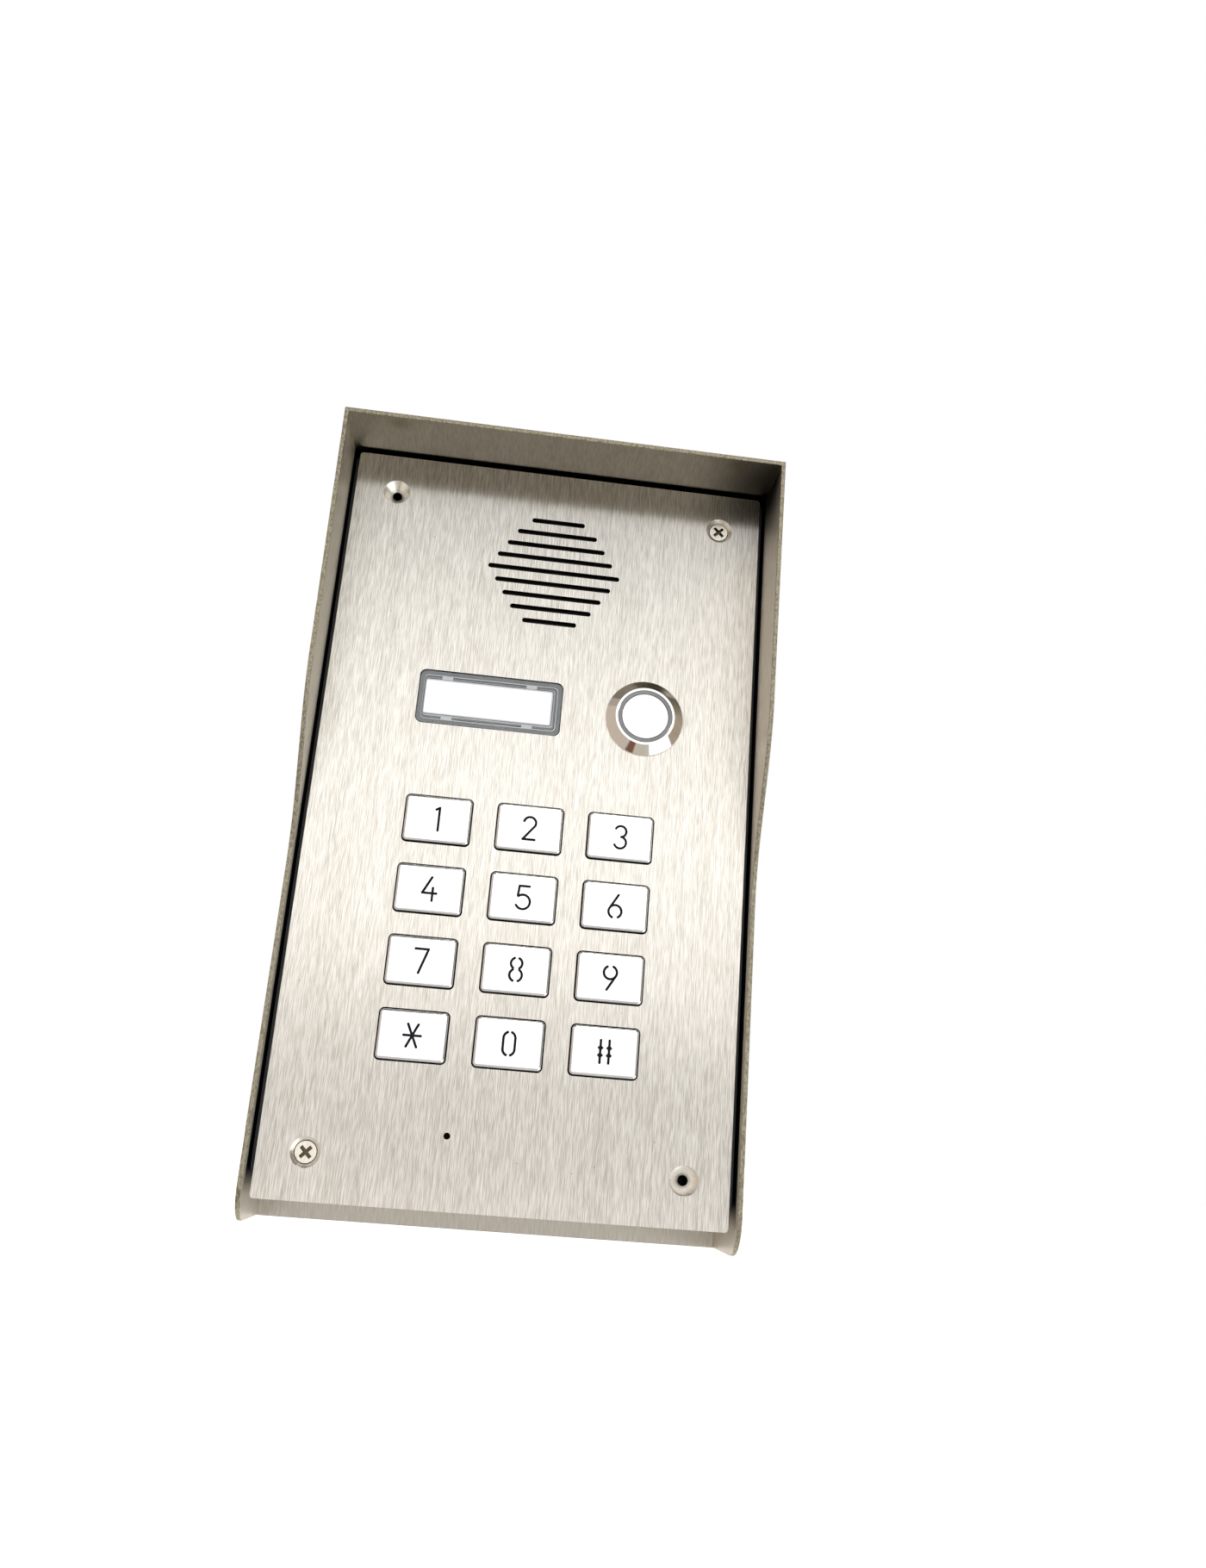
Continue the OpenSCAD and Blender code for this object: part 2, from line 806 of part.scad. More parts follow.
// The character of key number i: each is broken where its middle would fall out
module glyph(i) {
    top = glyph_top;
    if (i == 0) {
        stroke([0.3, -top], [0.3, top]);
        stroke([-0.55, 2.65], [0.3, top]);
    }
    if (i == 1) {
        bow([0, 1.5], 1.65, -25, 165);
        stroke([1.5, 0.8], [-1.65, -top]);
        stroke([-1.65, -top], [1.6, -top]);
    }
    if (i == 2) {
        bow([0, 1.6], 1.55, -80, 150);
        bow([0, -1.5], 1.65, -155, 80);
    }
    if (i == 3) {
        stroke([0.4, top], [-1.8, -1.15]);
        stroke([-1.8, -1.15], [1.9, -1.15]);
        stroke([0.9, 0.3], [0.9, -top]);
    }
    if (i == 4) {
        stroke([1.5, top], [-1.15, top]);
        stroke([-1.15, top], [-1.4, 0.55]);
        bow([0, -1.15], 1.95, -150, 130);
    }
    if (i == 5) looped();
    if (i == 6) {
        stroke([-1.7, top], [1.7, top]);
        stroke([1.7, top], [-0.4, -top]);
    }
    if (i == 7) for (m = [0, 1]) mirror([m, 0]) {
        bow([0, 1.6], 1.5, -55, 65);
        bow([0, -1.5], 1.65, -65, 58);
    }
    if (i == 8) rotate(180) looped();
    if (i == 9) {
        stroke([-2.2, 0], [2.2, 0]);
        for (a = [65, 115]) rotate(a) stroke([-top, 0], [top, 0]);
    }
    if (i == 10) for (m = [0, 1]) mirror([m, 0]) {
        bow([-0.1, 1.4], 1.65, 5, 66);
        bow([-0.1, -1.4], 1.65, -66, -5);
        stroke([1.55, 1.5], [1.55, -1.5]);
    }
    if (i == 11) for (x = [-1.15, 1.15]) {
        stroke([x, -2.9], [x, 2.9]);
        for (z = [-0.95, 0.95]) translate([x, z]) circle(stub_r, $fn = 4);
    }
}

// The six, which turned over is the nine
module looped() {
    stroke([0.7, glyph_top], [-1.35, -0.25]);
    bow([0, -1.4], 1.75, -60, 245);
}

module cap_inside(i) {
    at2(key_at(i)) rounded(key_w - 2 * cap_t, key_h - 2 * cap_t, cap_in_corner);
}

// A metal cap with its character cut through
module key_cap(i) {
    front = face_y - key_out;
    color("#efece6") difference() {
        slab(front, flange_y) at2(key_at(i)) rounded(key_w, key_h, key_corner);
        slab(front + cap_t, flange_y + over) cap_inside(i);
        slab(front - over, flange_y) at2(key_at(i)) glyph(i);
    }
}

// The plastic plunger fills the cap, holds it behind the panel and works the contact
module key_plunger(i) {
    color("#232a3c") {
        slab(face_y - key_out + cap_t, flange_y + joined) cap_inside(i);
        slab(flange_y, flange_y + flange_t) at2(key_at(i))
            rounded(flange_w, flange_h, key_corner);
        rod(plunger_r, flange_y, plunger_end, key_at(i));
    }
}

// ---- Main board and leads ----

// The board carries its soldered radio module, relay and capacitors
module main_board() {
    back = main_y + board_t;
    color("#1d5535") {
        difference() {
            slab(main_y, back) translate([0, main_z]) rounded(main_w, main_h, board_corner);
            for (p = main_holes) rod(stud_r + stud_gap, main_y - over, back + over, p);
        }
        slab(main_y - radio_t, main_y) at2(radio_at) rounded(radio_w, radio_h, board_corner);
        slab(main_y - relay_t, main_y) at2(relay_at) square([relay_w, relay_h], center = true);
        for (x = capacitor_x) rod(capacitor_r, main_y - relay_t, main_y, [x, capacitor_z]);
    }
}

module board_screws() {
    color("#c9c9c9") for (p = main_holes) {
        rod(board_screw_r, main_y - board_screw_t, main_y, p);
        rod(stud_r, main_y - joined, floor_y - floor_clear, p);
    }
}

module terminal_block() {
    front = main_y - terminal_t;
    color("#2f7a4a") difference() {
        slab(front, main_y) translate([0, terminal_z])
            square([terminal_w, terminal_h], center = true);
        for (i = [0:9]) slab(front - over, front + terminal_hole_t)
            translate([(i - 4.5) * terminal_pitch, terminal_z]) circle(terminal_hole_r);
    }
}

// Flat lead between the two boards, bowed in the middle
module keypad_ribbon() {
    y0 = keypad_y + board_t;
    edge = [for (i = [0:ribbon_steps]) let (s = i / ribbon_steps)
        [y0 + (main_y - y0) * s, ribbon_bow * sin(180 * s)]];
    back = [for (i = [ribbon_steps:-1:0]) edge[i] + [0, ribbon_t]];
    color("#8d8f94") translate([-ribbon_w / 2, 0, 0]) rotate([90, 0, 90])
        linear_extrude(ribbon_w) polygon(concat(edge, back));
}

module speaker_lead() {
    color("#9c2a24") lead(lead_points, lead_r);
}

rain_hood();
front_panel();
panel_gasket();
back_box();
threaded_inserts();
panel_screws();
cable_bush();
weld_studs();
stud_nuts();
window_lens();
name_label();
label_diffuser();
window_retainer();
window_led_board();
button_body();
button_seal();
button_nut();
button_led_ring();
button_cap();
button_switch();
speaker_gasket();
speaker_mesh();
speaker_basket();
speaker_cone();
speaker_magnet();
speaker_retainer();
microphone();
microphone_boot();
keypad_mat();
keypad_board();
board_spacers();
main_board();
board_screws();
terminal_block();
keypad_ribbon();
speaker_lead();
for (i = [0:11]) {
    key_cap(i);
    key_plunger(i);
}
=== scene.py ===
"""Looks of the door intercom panel: materials, detail pieces, studio and camera.

Everything is in metres in the CAD frame: X across the panel, Y into the wall, Z up.
"""
import json
import math

import bmesh
import bpy
from mathutils import Matrix, Vector


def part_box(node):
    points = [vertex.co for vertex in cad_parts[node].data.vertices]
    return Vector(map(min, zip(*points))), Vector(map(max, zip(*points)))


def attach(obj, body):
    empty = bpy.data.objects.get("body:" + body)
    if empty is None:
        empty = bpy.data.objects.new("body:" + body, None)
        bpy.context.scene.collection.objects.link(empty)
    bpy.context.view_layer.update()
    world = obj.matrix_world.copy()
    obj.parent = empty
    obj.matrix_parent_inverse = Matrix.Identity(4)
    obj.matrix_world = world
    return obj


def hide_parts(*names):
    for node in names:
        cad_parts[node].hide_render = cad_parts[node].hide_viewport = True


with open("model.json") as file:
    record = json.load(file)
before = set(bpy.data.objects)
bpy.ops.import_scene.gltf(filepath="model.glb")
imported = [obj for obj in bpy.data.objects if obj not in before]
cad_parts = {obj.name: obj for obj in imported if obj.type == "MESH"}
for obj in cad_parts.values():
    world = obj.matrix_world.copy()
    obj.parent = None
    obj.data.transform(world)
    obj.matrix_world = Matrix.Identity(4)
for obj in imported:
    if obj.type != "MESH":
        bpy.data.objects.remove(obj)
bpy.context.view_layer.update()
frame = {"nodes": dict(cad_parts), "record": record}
nodes = frame["nodes"]
MM = 0.001

# Multiplied by a vector, this leaves out its Y, which runs into the wall
ALONG_PANEL = (1, 0, 1)

# Points of a mesh that are closer than this, in metres, are the same point or on the same plane
SAME = 1e-6

# Edges of a CAD copy that turn by more than this are its real edges, which get rounded
REAL_EDGE = math.radians(35)

# Radii of CAD features that their boxes don't give
SCREW_HEAD_R = 2.75 * MM
INSERT_R = 2.5 * MM
INSERT_BORE_R = 1.25 * MM

# Painted light and shade: how much lighter the hood's inner sides are painted than its back, and how much
# darker its roof is painted
SIDE_PAINTED_LIGHT = (1.60, 1.63, 1.68, 1.0)
ROOF_PAINTED_SHADE = (0.76, 0.75, 0.73, 1.0)


# ---- Node helpers ----

def add(tree, kind, inputs=None, **settings):
    """A shader node. An input's value is a number, a colour, or another node's output."""
    made = tree.nodes.new(kind)
    for name, value in settings.items():
        setattr(made, name, value)
    for name, value in (inputs or {}).items():
        socket = made.inputs[name]
        if isinstance(value, bpy.types.NodeSocket):
            tree.links.new(value, socket)
        else:
            socket.default_value = value
    return made


def math_node(tree, operation, a, b=0.0):
    return add(tree, "ShaderNodeMath", {0: a, 1: b}, operation=operation).outputs[0]


def vector_math(tree, operation, a, b=(0.0, 0.0, 0.0)):
    return add(tree, "ShaderNodeVectorMath", {0: a, 1: b}, operation=operation).outputs["Vector"]


def distance_between(tree, a, b):
    return add(tree, "ShaderNodeVectorMath", {0: a, 1: b}, operation="DISTANCE").outputs["Value"]


def mix_numbers(tree, factor, a, b):
    return add(tree, "ShaderNodeMix", {0: factor, 2: a, 3: b}, data_type="FLOAT").outputs[0]


def split(tree, vector):
    """The X, Y and Z of a vector, by name."""
    return add(tree, "ShaderNodeSeparateXYZ", {0: vector}).outputs


def ramp(tree, value, low, high, to_low=0.0, to_high=1.0):
    """value between low and high becomes to_low to to_high along a smooth step."""
    made = add(tree, "ShaderNodeMapRange", {
        "Value": value, "From Min": low, "From Max": high, "To Min": to_low, "To Max": to_high})
    made.interpolation_type = "SMOOTHSTEP"
    return made.outputs["Result"]


def mix(tree, factor, a, b, blend="MIX"):
    """Mixes two colours."""
    made = add(tree, "ShaderNodeMix", data_type="RGBA", blend_type=blend)
    for index, value in ((0, factor), (6, a), (7, b)):
        socket = made.inputs[index]
        if isinstance(value, bpy.types.NodeSocket):
            tree.links.new(value, socket)
        else:
            socket.default_value = value
    return made.outputs[2]


def colour(r, g, b):
    return (r, g, b, 1.0)


def material(name, **sockets):
    """A new material, with constants set on the shader's own sockets."""
    made = bpy.data.materials.new(name)
    made.use_nodes = True
    bsdf = made.node_tree.nodes["Principled BSDF"]
    for key, value in sockets.items():
        bsdf.inputs[key.replace("_", " ")].default_value = value
    return made, made.node_tree, bsdf


def place(tree):
    """The point in the CAD frame."""
    return add(tree, "ShaderNodeTexCoord").outputs["Object"]


def stretched(tree, sizes, detail=2.0, roughness=0.5):
    """Noise whose cells measure sizes, in millimetres along X, Y and Z."""
    scaled = vector_math(tree, "MULTIPLY", place(tree), [1 / (s * MM) for s in sizes])
    noise = add(tree, "ShaderNodeTexNoise", {
        "Vector": scaled, "Scale": 1.0, "Detail": detail, "Roughness": roughness})
    return noise.outputs["Fac"]


def link(tree, output, bsdf, name):
    tree.links.new(output, bsdf.inputs[name])


def bump(tree, bsdf, height, distance, strength):
    made = add(tree, "ShaderNodeBump", {"Height": height, "Distance": distance, "Strength": strength})
    link(tree, made.outputs[0], bsdf, "Normal")


# ---- Metals ----

def facing(tree, axis):
    """1 on faces that look along an axis of the frame, either way, 0 on the others."""
    normal = add(tree, "ShaderNodeNewGeometry").outputs["True Normal"]
    part = split(tree, normal)[axis]
    return ramp(tree, math_node(tree, "ABSOLUTE", part), 0.6, 0.8)


def grain(tree, across, along, detail=2.0):
    """Brushed streaks: they run up the upright faces and front to back on the hood's roof."""
    upright = stretched(tree, (across, across, along), detail)
    roof = stretched(tree, (across, along, across), detail)
    return mix_numbers(tree, facing(tree, "Z"), upright, roof)


def across_grain(tree):
    """The tangent at right angles to the grain."""
    about_z = add(tree, "ShaderNodeTangent", direction_type="RADIAL", axis="Z").outputs[0]
    about_y = add(tree, "ShaderNodeTangent", direction_type="RADIAL", axis="Y").outputs[0]
    made = add(tree, "ShaderNodeMix", {0: facing(tree, "Z"), 4: about_z, 5: about_y}, data_type="VECTOR")
    return made.outputs[1]


def pits(tree, spacing, size):
    """1 in small pits that lie about spacing apart on the panel's face, both in millimetres."""
    flat = vector_math(tree, "MULTIPLY", place(tree), (1 / (spacing * MM), 0, 1 / (spacing * MM)))
    cells = add(tree, "ShaderNodeTexVoronoi", {"Vector": flat, "Scale": 1.0})
    chance = add(tree, "ShaderNodeSeparateColor", {0: cells.outputs["Color"]}).outputs[0]
    spot = ramp(tree, cells.outputs["Distance"], 0.3 * size / spacing, size / spacing, 1.0, 0.0)
    return math_node(tree, "MULTIPLY", spot, ramp(tree, chance, 0.5, 0.9))


def within(tree, value, limit):
    """1 where value, in metres, lies between -limit and limit."""
    return math_node(tree, "LESS_THAN", math_node(tree, "ABSOLUTE", value), limit)


def hood_inside(tree, hood):
    """1 on the hood's inner faces, 0 on its outer skin."""
    high = hood[1]
    at = split(tree, place(tree))
    skin = 0.6 * MM
    under = math_node(tree, "LESS_THAN", at["Z"], high.z - skin)
    ahead = math_node(tree, "LESS_THAN", at["Y"], high.y - skin)
    between = within(tree, at["X"], high.x - skin)
    return math_node(tree, "MULTIPLY", between, math_node(tree, "MULTIPLY", under, ahead))


def gap_painted_shadow(tree, hood, panel_front):
    """1 on the hood's inner faces beside and behind the front panel, which are painted near black as the
    shadow in the gap.

    It fades out before the back plate and toward the lower end of the sides.
    """
    low, high = hood
    at = split(tree, place(tree))
    side = ramp(tree, at["Y"], panel_front - 0.3 * MM, panel_front + 0.5 * MM)
    roof = ramp(tree, at["Y"], panel_front - 0.2 * MM, panel_front + 0.4 * MM)
    near = mix_numbers(tree, facing(tree, "Z"), side, roof)
    off_plate = ramp(tree, at["Y"], high.y - 4 * MM, high.y - 2 * MM, 1.0, 0.0)
    above = ramp(tree, at["Z"], low.z + 6 * MM, low.z + 14 * MM)
    gap_shade = math_node(tree, "MULTIPLY", near, math_node(tree, "MULTIPLY", off_plate, above))
    return math_node(tree, "MULTIPLY", gap_shade, hood_inside(tree, hood))


def spots_of(tree, centres, radius):
    """1 at each centre, 0 beyond radius, in metres."""
    total = 0.0
    for centre in centres:
        away = distance_between(tree, place(tree), centre)
        total = math_node(tree, "ADD", total, ramp(tree, away, 0.2 * radius, radius, 1.0, 0.0))
    return total


def hood_tints_and_painted_light(tree, hood, base):
    """The hood's tones over base: weld tints, with painted light on the inner sides, painted shade on the
    roof and in the top right corner, and painted shadow in the gap.
    """
    low, high = hood
    lip = low.y + 3 * MM
    welds = [(0.76 * low.x, lip, high.z), (0.80 * high.x, lip, high.z)]
    tint = math_node(tree, "MULTIPLY", spots_of(tree, welds, 5 * MM), 0.4)
    base = mix(tree, tint, base, colour(0.24, 0.20, 0.15))
    inside = hood_inside(tree, hood)
    # Painted light on the inner sides, painted shade on the roof
    for axis, tone in (("X", SIDE_PAINTED_LIGHT), ("Z", ROOF_PAINTED_SHADE)):
        share = math_node(tree, "MULTIPLY", facing(tree, axis), inside)
        base = mix(tree, share, base, mix(tree, 1.0, base, tone, "MULTIPLY"))
    # Painted shade: the hood's inside darkens toward its top right corner
    corner = spots_of(tree, [(high.x, low.y + 12 * MM, high.z)], 26 * MM)
    painted_corner_shade = math_node(tree, "MULTIPLY", corner, math_node(tree, "MULTIPLY", inside, 0.85))
    base = mix(tree, painted_corner_shade, base, colour(0.05, 0.05, 0.05))
    gap_shadow = gap_painted_shadow(tree, hood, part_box("front_panel")[0].y)
    # Painted shadow: the gap beside and behind the panel is painted near black
    return mix(tree, gap_shadow, base, colour(0.010, 0.011, 0.016))


def brushed_steel(name, dark, light, edge_tint, finest, hood=None):
    """Sheet steel with a straight brushed grain, faint cloudy wear and a few pits.

    finest is the width of the finest hairs, in millimetres. The hood's box adds weld tints and painted
    light and shade.
    """
    made, tree, bsdf = material(name, Metallic=1.0, Anisotropic=1.0, Specular_Tint=edge_tint)
    # Width and length of each layer's hairs in millimetres, where they start, and their share
    layers = ((finest, 4.0, 0.34, 0.72), (2.2 * finest, 12.0, 0.34, 0.20), (3.0, 90.0, 0.3, 0.08))
    hairs = [ramp(tree, grain(tree, width, length), start, 1 - start) for width, length, start, _ in layers]
    streak = 0.0
    for hair, (*_, share) in zip(hairs, layers):
        streak = math_node(tree, "ADD", streak, math_node(tree, "MULTIPLY", hair, share))
    scratch = ramp(tree, grain(tree, 0.3, 25.0, 1.0), 0.70, 0.78, 0.0, 0.4)
    cloudy = ramp(tree, stretched(tree, (22.0, 22.0, 30.0), 3.0), 0.35, 0.7, 0.0, 0.06)
    pitted = math_node(tree, "MULTIPLY", pits(tree, 5.0, 0.28), 0.6)
    base = mix(tree, streak, dark, light)
    base = mix(tree, scratch, base, light)
    base = mix(tree, cloudy, base, colour(0.55, 0.52, 0.46))
    base = mix(tree, pitted, base, colour(0.2, 0.17, 0.13))
    if hood:
        base = hood_tints_and_painted_light(tree, hood, base)
    link(tree, base, bsdf, "Base Color")
    link(tree, ramp(tree, hairs[0], 0.0, 1.0, 0.30, 0.34), bsdf, "Roughness")
    link(tree, across_grain(tree), bsdf, "Tangent")
    bump(tree, bsdf, streak, 0.02 * MM, 0.3)
    return made


def turned_steel(name, dark, light, rough, holes, radius, fade, shade):
    """Turned steel with painted shade, the colour shade, inside each hole, all of whose axes run along Y.

    The shade ends over a distance of fade beyond radius. Both are in metres.
    """
    made, tree, bsdf = material(name, Metallic=1.0)
    turned = stretched(tree, (0.3, 0.3, 0.3), 3.0)
    base = mix(tree, turned, dark, light)
    for hole in holes:
        flat = vector_math(tree, "MULTIPLY", place(tree), ALONG_PANEL)
        away = distance_between(tree, flat, hole)
        base = mix(tree, ramp(tree, away, radius, radius + fade, 1.0, 0.0), base, shade)
    link(tree, base, bsdf, "Base Color")
    link(tree, ramp(tree, turned, 0.3, 0.7, *rough), bsdf, "Roughness")
    return made


def cut_edge(name, dark, light):
    """A sawn and ground sheet edge: coarse grain across the cut, with bright burrs."""
    made, tree, bsdf = material(name, Metallic=1.0)
    coarse = stretched(tree, (0.5, 0.5, 0.9), 3.0, 0.7)
    burr = stretched(tree, (0.25, 0.25, 0.25), 2.0)
    base = mix(tree, ramp(tree, coarse, 0.38, 0.62), dark, light)
    link(tree, mix(tree, ramp(tree, burr, 0.64, 0.72), base, colour(0.80, 0.77, 0.68)), bsdf, "Base Color")
    link(tree, ramp(tree, coarse, 0.3, 0.7, 0.35, 0.6), bsdf, "Roughness")
    bump(tree, bsdf, coarse, 0.1 * MM, 0.5)
    return made


def satin_steel(name, base, rough=0.22, marks=0.05):
    """Fine satin or polished steel, with faint rubbed marks."""
    made, tree, bsdf = material(name, Metallic=1.0)
    rubbed = stretched(tree, (0.5, 0.5, 3.0), 3.0)
    cloudy = stretched(tree, (5.0, 5.0, 5.0), 3.0)
    shade = ramp(tree, rubbed, 0.3, 0.7)
    dark = tuple(c * (1 - 2 * marks) for c in base[:3]) + (1.0,)
    link(tree, mix(tree, shade, dark, base), bsdf, "Base Color")
    link(tree, ramp(tree, cloudy, 0.3, 0.7, rough * 0.8, rough * 1.3), bsdf, "Roughness")
    bump(tree, bsdf, rubbed, 0.01 * MM, 0.15)
    return made


def spun_steel(name, centre):
    """Steel with the circular grain of a lathe, about an axis along Y through centre."""
    made, tree, bsdf = material(name, Metallic=1.0, Anisotropic=0.6)
    away = vector_math(tree, "SUBTRACT", place(tree), centre)
    flat = vector_math(tree, "MULTIPLY", away, ALONG_PANEL)
    radius = add(tree, "ShaderNodeVectorMath", {0: flat}, operation="LENGTH").outputs["Value"]
    rings = add(tree, "ShaderNodeTexNoise", {
        "W": math_node(tree, "MULTIPLY", radius, 1 / (0.12 * MM)), "Scale": 1.0, "Detail": 3.0},
        noise_dimensions="1D").outputs["Fac"]
    link(tree, mix(tree, ramp(tree, rings, 0.3, 0.7), colour(0.92, 0.90, 0.87),
                   colour(0.99, 0.98, 0.96)), bsdf, "Base Color")
    link(tree, ramp(tree, rings, 0.3, 0.7, 0.26, 0.36), bsdf, "Roughness")
    link(tree, vector_math(tree, "NORMALIZE", flat), bsdf, "Tangent")
    return made


# ---- Plastics, rubber and paper ----

def moulded(name, base, rough=0.45, grain_mm=0.12, bump_strength=0.15, **sockets):
    """Moulded plastic or rubber with a fine surface texture and slight mottling."""
    made, tree, bsdf = material(name, **sockets)
    texture = stretched(tree, (grain_mm,) * 3, 2.0)
    mottle = stretched(tree, (6.0, 6.0, 6.0), 3.0)
    lighter = tuple(min(1.0, c * 1.25 + 0.004) for c in base[:3]) + (1.0,)
    link(tree, mix(tree, ramp(tree, mottle, 0.3, 0.7), base, lighter), bsdf, "Base Color")
    link(tree, ramp(tree, texture, 0.3, 0.7, rough * 0.85, rough * 1.15), bsdf, "Roughness")
    bump(tree, bsdf, texture, 0.04 * MM, bump_strength)
    return made


def card(name):
    """White card that glows faintly: painted light that makes it read white."""
    made, tree, bsdf = material(name, Roughness=0.7)
    fibres = stretched(tree, (0.3, 0.3, 0.1), 4.0)
    white = mix(tree, ramp(tree, fibres, 0.3, 0.7), colour(0.93, 0.93, 0.93), colour(0.98, 0.98, 0.98))
    link(tree, white, bsdf, "Base Color")
    # Painted light: the card's glow
    link(tree, white, bsdf, "Emission Color")
    bsdf.inputs["Emission Strength"].default_value = 0.55
    return made


def clear_plastic(name):
    """Clear moulding with faint flow lines."""
    made, tree, bsdf = material(name, Transmission_Weight=1.0, IOR=1.49)
    flow = stretched(tree, (9.0, 2.0, 4.0), 2.0)
    link(tree, mix(tree, flow, colour(0.90, 0.93, 0.95), colour(0.97, 0.98, 0.99)), bsdf, "Base Color")
    link(tree, ramp(tree, flow, 0.3, 0.7, 0.02, 0.06), bsdf, "Roughness")
    return made


def woven(name, base, pitch):
    """Fine square weave."""
    made, tree, bsdf = material(name, Roughness=0.85)
    waves = [add(tree, "ShaderNodeTexWave", {"Vector": place(tree), "Scale": 1 / (20 * pitch * MM)},
                 bands_direction=way).outputs["Fac"] for way in ("X", "Z")]
    weave = math_node(tree, "MULTIPLY", *waves)
    link(tree, mix(tree, weave, base, tuple(4 * c for c in base[:3]) + (1.0,)), bsdf, "Base Color")
    bump(tree, bsdf, weave, 0.1 * MM, 0.6)
    return made


button_low, button_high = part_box("button_cap")
button_centre = (button_low + button_high) / 2

finishes = {
    "hood_steel": brushed_steel("hood_brushed_steel", colour(0.41, 0.38, 0.325), colour(0.55, 0.515, 0.45),
                                colour(0.42, 0.39, 0.34), 0.3, hood=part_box("rain_hood")),
    "panel_steel": brushed_steel("panel_brushed_steel", colour(0.52, 0.49, 0.43),
                                 colour(1.0, 0.97, 0.91), colour(0.24, 0.23, 0.21), 0.15),
    "key_steel": satin_steel("key_satin_steel", colour(0.98, 0.98, 0.98), 0.36, 0.01),
    "polished_steel": satin_steel("polished_steel", colour(0.86, 0.83, 0.78), 0.06, 0.02),
    "spun_steel": spun_steel("spun_steel", button_centre),
    "screw_steel": satin_steel("screw_steel", colour(0.78, 0.73, 0.63), 0.16, 0.05),
    "zinc_steel": satin_steel("zinc_steel", colour(0.62, 0.62, 0.60), 0.3, 0.1),
    "black_plastic": moulded("black_plastic", colour(0.018, 0.019, 0.021)),
    "white_plastic": moulded("white_plastic", colour(0.80, 0.80, 0.78), 0.4),
    "grey_plastic": moulded("grey_plastic", colour(0.30, 0.31, 0.33), 0.4),
    "green_plastic": moulded("green_plastic", colour(0.03, 0.20, 0.08), 0.35),
    "red_plastic": moulded("red_plastic", colour(0.40, 0.025, 0.02), 0.3),
    "blue_plastic": moulded("blue_plastic", colour(0.004, 0.006, 0.016), 0.4,
                            Specular_IOR_Level=0.15),
    "grey_lens": moulded("grey_lens", colour(0.23, 0.24, 0.255), 0.25),
    "clear_plastic": clear_plastic("clear_plastic"),
    "label_card": card("label_card"),
    "black_foam": moulded("black_foam", colour(0.012, 0.012, 0.013), 0.9, 0.35, 0.8),
    "black_rubber": moulded("black_rubber", colour(0.015, 0.015, 0.016), 0.6),
    "grey_rubber": moulded("grey_rubber", colour(0.14, 0.15, 0.16), 0.6),
    "black_cloth": woven("black_cloth", colour(0.006, 0.006, 0.007), 0.25),
    "cone_paper": moulded("cone_paper", colour(0.05, 0.045, 0.04), 0.8, 0.3, 0.6),
    "ferrite": moulded("ferrite", colour(0.03, 0.03, 0.032), 0.5),
    "green_board": moulded("green_board", colour(0.012, 0.09, 0.035), 0.25, 0.6),
}

insert_low, insert_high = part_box("threaded_inserts")
insert_holes = [(x, 0, z) for x in (insert_low.x + INSERT_R, insert_high.x - INSERT_R)
                for z in (insert_low.z + INSERT_R, insert_high.z - INSERT_R)]
# Painted shade: the inserts' bores are painted near black
own_finish = {"threaded_inserts": turned_steel(
    "insert_steel_painted_bore_shade", colour(0.60, 0.58, 0.54), colour(0.80, 0.78, 0.74), (0.28, 0.42),
    insert_holes, INSERT_BORE_R, 0.25 * MM, colour(0.008, 0.008, 0.010))}

for entry in frame["record"]["subparts"]:
    node = nodes[entry["node"]]
    node.data.materials.clear()
    node.data.materials.append(own_finish.get(entry["node"], finishes[entry["material_slot"]]))

screw_low, screw_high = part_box("panel_screws")
fitted_screws = [(screw_high.x - SCREW_HEAD_R, 0, screw_high.z - SCREW_HEAD_R),
                 (screw_low.x + SCREW_HEAD_R, 0, screw_low.z + SCREW_HEAD_R)]
shadowed_cut = satin_steel("shadowed_cut_steel", colour(0.035, 0.030, 0.026), 0.5)
# The edge's dark tan is partly its own colour and partly painted shade for the dark surroundings that it
# reflects
hood_edge = cut_edge("hood_cut_edge", colour(0.20, 0.175, 0.12), colour(0.44, 0.40, 0.30))
# Painted shadow: a dark ring in each countersink round a fitted screw's head
machined_with_painted_shadow = turned_steel("countersink_steel_painted_shadow_ring", colour(0.76, 0.72, 0.65), colour(0.93, 0.90, 0.84),
                        (0.26, 0.38), fitted_screws, SCREW_HEAD_R + 0.1 * MM, 0.12 * MM,
                        colour(0.06, 0.045, 0.03))
# Painted shade: the screws' cross recesses are painted dark
painted_recess_shade = satin_steel("screw_recess_steel", colour(0.10, 0.08, 0.055), 0.3)
pane_border = moulded("window_border_smoke", colour(0.15, 0.155, 0.165), 0.2, 0.4, 0.05)
# Painted light and painted shadow: lit and shaded copies of the clear moulding for its ledges and grooves
pane_painted_light = moulded("window_ledge_painted_light", colour(0.93, 0.93, 0.93), 0.15, 0.3, 0.1)
pane_painted_shadow = moulded("window_ledge_shadow", colour(0.015, 0.015, 0.018), 0.2, 0.3, 0.1)
key_edge = satin_steel("key_rolled_edge", colour(0.93, 0.94, 0.97), 0.14, 0.02)
key_paint = moulded("key_character_paint", colour(0.004, 0.006, 0.016), 0.5,
                    Specular_IOR_Level=0.15)


# ---- Pieces that stand for CAD nodes, with the edges that the tools leave ----

